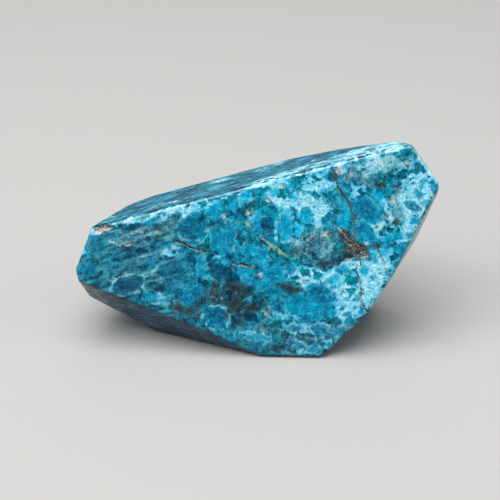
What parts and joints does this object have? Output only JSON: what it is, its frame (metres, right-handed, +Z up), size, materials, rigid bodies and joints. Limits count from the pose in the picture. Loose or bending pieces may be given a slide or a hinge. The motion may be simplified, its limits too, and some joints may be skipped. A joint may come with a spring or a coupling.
{
  "type": "polished blue apatite freeform",
  "caption": "Palm-sized polished freeform of massive blue apatite: flat hand-ground facets, softly rounded edges, open cracks and a rough brown pit in the front facet.",
  "frame": {"origin": "on the surface that the stone rests on, under the middle of its bounding box", "axes": "+X along the stone's length, towards the taller right end; -Y towards the broad front facet; +Z up, as it rests"},
  "size_m": [0.0954, 0.0534, 0.0533],
  "materials": {
    "apatite": "polished"
  },
  "bodies": {
    "root": {"apatite": "apatite"}
  },
  "joints": []
}
